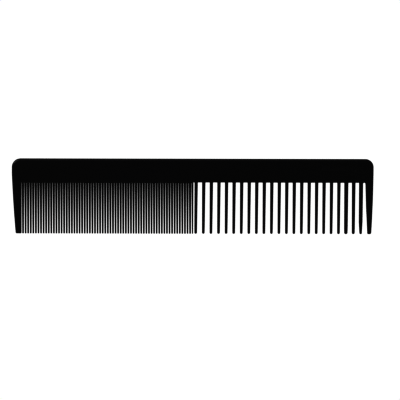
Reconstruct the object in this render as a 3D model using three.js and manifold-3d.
// A flat cutting comb, moulded in one piece: fine teeth on one half, wide teeth on the other.
//
// Millimetres. The comb lies flat on z = 0, with its length along X and its teeth pointing to -Y.
// X = 0 and Y = 0 are the middle of its length and of its height. The fine teeth are on the -X half.
//
// Every solid is cut from one blank: the comb's outline seen from above, crossed with its wedge
// section, which is thick at the back and thin at the tips. The teeth meet the back face to face.
import * as THREE from "three";
import { mergeVertices } from "three/addons/utils/BufferGeometryUtils.js";
import Module from "manifold-3d";

// Overall sizes
const combLength = 180;
const combHeight = 37.25; // from the back's long edge to the tips
const backHeight = 11.7; // from the back's long edge to the roots of the wide teeth

// Wedge section
const backThickness = 4;
const tipThickness = 1.3;
const longEdgeRadius = 1.2; // rounds the long edge of the back, above and below
const tipEdgeRadius = 0.4; // rounds the tips, above and below

// Outline
const fineEndCornerRadius = 4.3;
const wideEndCornerRadius = 4;
const fineEndStraight = 7.3; // down from the long edge before the fine end starts to slant
const wideEndStraight = 6.6; // down from the long edge before the wide end starts to curve
const fineEndInset = 1.92; // how far the fine end has come in at the tips
const wideEndInset = 1.05;
const endBow = 0.35; // how far each end bulges past a straight line from its start to its tip
const fineGuardCorner = 0.45;
const wideGuardCorner = 0.65;

// End guards, measured in from the comb's ends to the guard's inner edge
const fineGuardReach = 4.8;
const wideGuardReachRoot = 3.95;
const wideGuardReachTip = 2.95;
const wideGuardBow = 0.25; // how far the wide guard's inner edge bulges
const guardInnerCorner = 0.35;
const guardInnerStraight = 0.7; // along the tips, from the inner corner to where the cut runs clear

// Fine teeth
const fineToothCount = 67;
const fineGapRoot = 0.09;
const fineGapTip = 0.53;
const fineRootWeb = 0.4; // the fine gaps stop this far below the roots of the wide teeth
const fineToothLean = 0.1; // how far each tip stands towards the wide end
const fineTipRadius = 0.22;

// Wide teeth
const wideToothCount = 23;
const wideToothRoot = 1.57;
const wideToothTip = 1.24;
const wideToothLean = 0.18; // how far each tip stands towards the fine end
const wideLastGap = 1.22; // between the last wide tooth and the guard, at the root
const zoneGap = 0.57; // between the last fine tooth and the first wide tooth, at the root
const zoneGapTrim = 0.17; // how much narrower that gap leaves the last fine tooth
const wideZoneLength = 85.67; // from the last fine tooth's side to the guard's inner edge
const pitchEase = 0.018; // the wide teeth stand this share closer at the guard than midway
// The last wide teeth are stouter. The very last one draws in to a point over pointLength.
const stoutTeeth = [
  { root: 1.95, tip: 1.67 },
  { root: 1.7, tip: 1.4 },
  { root: 1.92, tip: 1.15, pointLength: 6, shoulder: 1.78 },
];

const arcSteps = 2; // an arc is drawn with twice this many straight sides
const outlineSteps = 4;

const plastic = { color: 0x0b0b0c, roughness: 0.42, metalness: 0 };

// Places that follow from the sizes
const left = -combLength / 2;
const right = combLength / 2;
const top = combHeight / 2;
const tips = -combHeight / 2;
const roots = top - backHeight;
const guardInner = left + fineGuardReach;
const wideGuardInnerRoot = right - wideGuardReachRoot;
const wideGuardInnerTip = right - wideGuardReachTip;
const fineZoneEnd = wideGuardInnerRoot - wideZoneLength;
const clear = 5; // how far cutting shapes run past the comb

const wasm = await Module();
wasm.setup();

// A closed three.js geometry as a solid that can be joined and cut.
function solidFrom(geometry) {
  const bare = geometry.clone();
  bare.deleteAttribute("normal");
  bare.deleteAttribute("uv");
  const merged = mergeVertices(bare, 1e-5);
  return new wasm.Manifold(
    new wasm.Mesh({
      numProp: 3,
      vertProperties: merged.attributes.position.array,
      triVerts: new Uint32Array(merged.index.array),
    }),
  );
}

// A named mesh from a solid, in the comb's plastic.
function meshFrom(solid, name) {
  const made = solid.getMesh();
  const geometry = new THREE.BufferGeometry();
  geometry.setAttribute("position", new THREE.BufferAttribute(made.vertProperties, 3));
  geometry.setIndex(new THREE.BufferAttribute(made.triVerts, 1));
  geometry.computeVertexNormals();
  const mesh = new THREE.Mesh(geometry, new THREE.MeshStandardMaterial(plastic));
  mesh.name = name;
  return mesh;
}

// A shape drawn in X and Y, standing from below the comb to above it.
function upright(shape, steps = arcSteps) {
  const geometry = new THREE.ExtrudeGeometry(shape, {
    depth: backThickness + 2 * clear,
    bevelEnabled: false,
    curveSegments: steps,
  });
  geometry.translate(0, 0, -clear);
  return solidFrom(geometry);
}

function shapeThrough(points) {
  return new THREE.Shape(points.map(([x, y]) => new THREE.Vector2(x, y)));
}

// The comb's outline from above, round corners and both ends included.
function outline() {
  const shape = new THREE.Shape();
  const fineR = fineEndCornerRadius;
  const wideR = wideEndCornerRadius;
  const half = Math.PI / 2;
  const fineTipX = left + fineEndInset;
  const fineTipY = tips + fineGuardCorner;
  const fineStartY = top - fineEndStraight;
  shape.moveTo(fineTipX + fineGuardCorner, tips);
  shape.quadraticCurveTo(fineTipX, tips, fineTipX, fineTipY);
  shape.quadraticCurveTo(left + fineEndInset / 2 - endBow, (fineTipY + fineStartY) / 2, left, fineStartY);
  shape.lineTo(left, top - fineR);
  shape.absarc(left + fineR, top - fineR, fineR, Math.PI, half, true);
  shape.lineTo(right - wideR, top);
  shape.absarc(right - wideR, top - wideR, wideR, half, 0, true);
  const wideTipX = right - wideEndInset;
  const wideTipY = tips + wideGuardCorner;
  const wideStartY = top - wideEndStraight;
  shape.lineTo(right, wideStartY);
  shape.quadraticCurveTo(right - wideEndInset / 2 + endBow, (wideTipY + wideStartY) / 2, wideTipX, wideTipY);
  shape.quadraticCurveTo(wideTipX, tips, wideTipX - wideGuardCorner, tips);
  shape.closePath();
  return shape;
}

// The wedge section in Y and Z: flat underneath, sloping on top, round at the back and at the tips.
function section() {
  const shape = new THREE.Shape();
  const r = longEdgeRadius;
  const e = tipEdgeRadius;
  const half = Math.PI / 2;
  shape.moveTo(tips + e, 0);
  shape.lineTo(top - r, 0);
  shape.absarc(top - r, r, r, -half, 0, false);
  shape.lineTo(top, backThickness - r);
  shape.absarc(top - r, backThickness - r, r, 0, half, false);
  shape.lineTo(tips + e, tipThickness);
  shape.quadraticCurveTo(tips, tipThickness, tips, tipThickness - e);
  shape.lineTo(tips, e);
  shape.quadraticCurveTo(tips, 0, tips + e, 0);
  return shape;
}

// The section run along X, past both ends of the comb.
function wedge() {
  const geometry = new THREE.ExtrudeGeometry(section(), {
    depth: combLength + 2 * clear,
    bevelEnabled: false,
    curveSegments: arcSteps,
  });
  const turn = new THREE.Matrix4().makeBasis(
    new THREE.Vector3(0, 1, 0),
    new THREE.Vector3(0, 0, 1),
    new THREE.Vector3(1, 0, 0),
  );
  geometry.applyMatrix4(turn);
  geometry.translate(left - clear, 0, 0);
  return solidFrom(geometry);
}

const blank = upright(outline(), outlineSteps).intersect(wedge());

// Adds a tooth to a shape that stands at the tooth's root, on its -X side, and ends at the root on
// its +X side: straight sides that draw in, with a shoulder where a point starts, then a round tip.
function drawTooth(shape, tooth) {
  const { x, rootY, rootWidth, tipWidth, lean, tipRadius, pointLength = 0, shoulder } = tooth;
  const tipX = x - lean;
  const tipY = tips + tipRadius;
  if (pointLength > 0) {
    shape.lineTo(tipX - shoulder / 2, tips + pointLength);
  }
  shape.lineTo(tipX - tipWidth / 2, tipY);
  shape.quadraticCurveTo(tipX - tipWidth / 2, tips, tipX, tips);
  shape.quadraticCurveTo(tipX + tipWidth / 2, tips, tipX + tipWidth / 2, tipY);
  if (pointLength > 0) {
    shape.lineTo(tipX + shoulder / 2, tips + pointLength);
  }
  shape.lineTo(x + rootWidth / 2, rootY);
}

// The back: everything of the blank above the roots of the teeth.
function back() {
  const above = shapeThrough([
    [left - clear, roots],
    [right + clear, roots],
    [right + clear, top + clear],
    [left - clear, top + clear],
  ]);
  return blank.intersect(upright(above));
}

// The guard that closes the fine end: broad, with an upright inner edge and a blunt tip.
function fineEndGuard() {
  const c = guardInnerCorner;
  const straightEnd = guardInner - c - guardInnerStraight;
  const shape = new THREE.Shape();
  shape.moveTo(left - clear, roots);
  shape.lineTo(left - clear, tips - clear);
  shape.lineTo(straightEnd, tips - clear);
  shape.lineTo(straightEnd, tips);
  shape.lineTo(guardInner - c, tips);
  shape.quadraticCurveTo(guardInner, tips, guardInner, tips + c);
  shape.lineTo(guardInner, roots);
  return blank.intersect(upright(shape));
}

// The guard that closes the wide end: slimmer, drawing in from both sides to a round tip.
function wideEndGuard() {
  const c = guardInnerCorner;
  const straightEnd = wideGuardInnerTip + c + guardInnerStraight;
  const shape = new THREE.Shape();
  shape.moveTo(right + clear, roots);
  shape.lineTo(right + clear, tips - clear);
  shape.lineTo(straightEnd, tips - clear);
  shape.lineTo(straightEnd, tips);
  shape.lineTo(wideGuardInnerTip + c, tips);
  shape.quadraticCurveTo(wideGuardInnerTip, tips, wideGuardInnerTip, tips + c);
  const bulgeX = (wideGuardInnerTip + wideGuardInnerRoot) / 2 - wideGuardBow;
  shape.quadraticCurveTo(bulgeX, (tips + c + roots) / 2, wideGuardInnerRoot, roots);
  return blank.intersect(upright(shape));
}

// Fine teeth, evenly spaced from the guard to the wide teeth. The gap beside the wide teeth is a
// wider one and takes its trim off the last tooth. Teeth are made two to a solid, on a foot that
// fills the pitch of both.
const firstGap = guardInner + fineGapRoot / 2;
const finePitch = (fineZoneEnd + zoneGapTrim + fineGapRoot / 2 - firstGap) / fineToothCount;
const fineRootY = roots - fineRootWeb;

function fineTooth(index) {
  const trim = index === fineToothCount - 1 ? zoneGapTrim : 0;
  return {
    x: firstGap + (index + 0.5) * finePitch - trim / 2,
    rootY: fineRootY,
    rootWidth: finePitch - fineGapRoot - trim,
    tipWidth: finePitch - fineGapTip - trim,
    lean: -fineToothLean,
    tipRadius: fineTipRadius,
  };
}

function fineTeeth(first, count) {
  const isFirst = first === 0;
  const isLast = first + count === fineToothCount;
  const footLeft = isFirst ? guardInner : firstGap + first * finePitch;
  const footRight = isLast ? fineZoneEnd : firstGap + (first + count) * finePitch;
  const shape = new THREE.Shape();
  shape.moveTo(footLeft, roots);
  shape.lineTo(footLeft, fineRootY);
  for (let i = first; i < first + count; i += 1) {
    const tooth = fineTooth(i);
    shape.lineTo(tooth.x - tooth.rootWidth / 2, fineRootY);
    drawTooth(shape, tooth);
  }
  shape.lineTo(footRight, fineRootY);
  shape.lineTo(footRight, roots);
  return blank.intersect(upright(shape));
}

// Wide teeth, each a solid of its own.
const firstWide = fineZoneEnd + zoneGap + wideToothRoot / 2;
const lastStout = stoutTeeth[stoutTeeth.length - 1];
const lastWide = wideGuardInnerRoot - wideLastGap - lastStout.root / 2;

function wideTooth(index) {
  const along = index / (wideToothCount - 1);
  const eased = along + pitchEase * along * (1 - along);
  const stout = stoutTeeth[index - (wideToothCount - stoutTeeth.length)];
  const size = stout ?? { root: wideToothRoot, tip: wideToothTip };
  return {
    x: firstWide + eased * (lastWide - firstWide),
    rootY: roots,
    rootWidth: size.root,
    tipWidth: size.tip,
    lean: wideToothLean,
    tipRadius: size.tip / 2,
    pointLength: size.pointLength,
    shoulder: size.shoulder,
  };
}

function wideToothSolid(index) {
  const tooth = wideTooth(index);
  const shape = new THREE.Shape();
  shape.moveTo(tooth.x - tooth.rootWidth / 2, roots);
  drawTooth(shape, tooth);
  return blank.intersect(upright(shape));
}

const twoDigits = (number) => String(number).padStart(2, "0");

const comb = new THREE.Group();
comb.add(meshFrom(back(), "back"));
comb.add(meshFrom(fineEndGuard(), "fine_end_guard"));
comb.add(meshFrom(wideEndGuard(), "wide_end_guard"));
for (let first = 0; first < fineToothCount; first += 2) {
  const count = Math.min(2, fineToothCount - first);
  const numbers = count === 2 ? [first + 1, first + 2] : [first + 1];
  const name = ["fine_teeth", ...numbers.map(twoDigits)].join("_");
  comb.add(meshFrom(fineTeeth(first, count), name));
}
for (let i = 0; i < wideToothCount; i += 1) {
  comb.add(meshFrom(wideToothSolid(i), "wide_tooth_" + twoDigits(i + 1)));
}

export default comb;
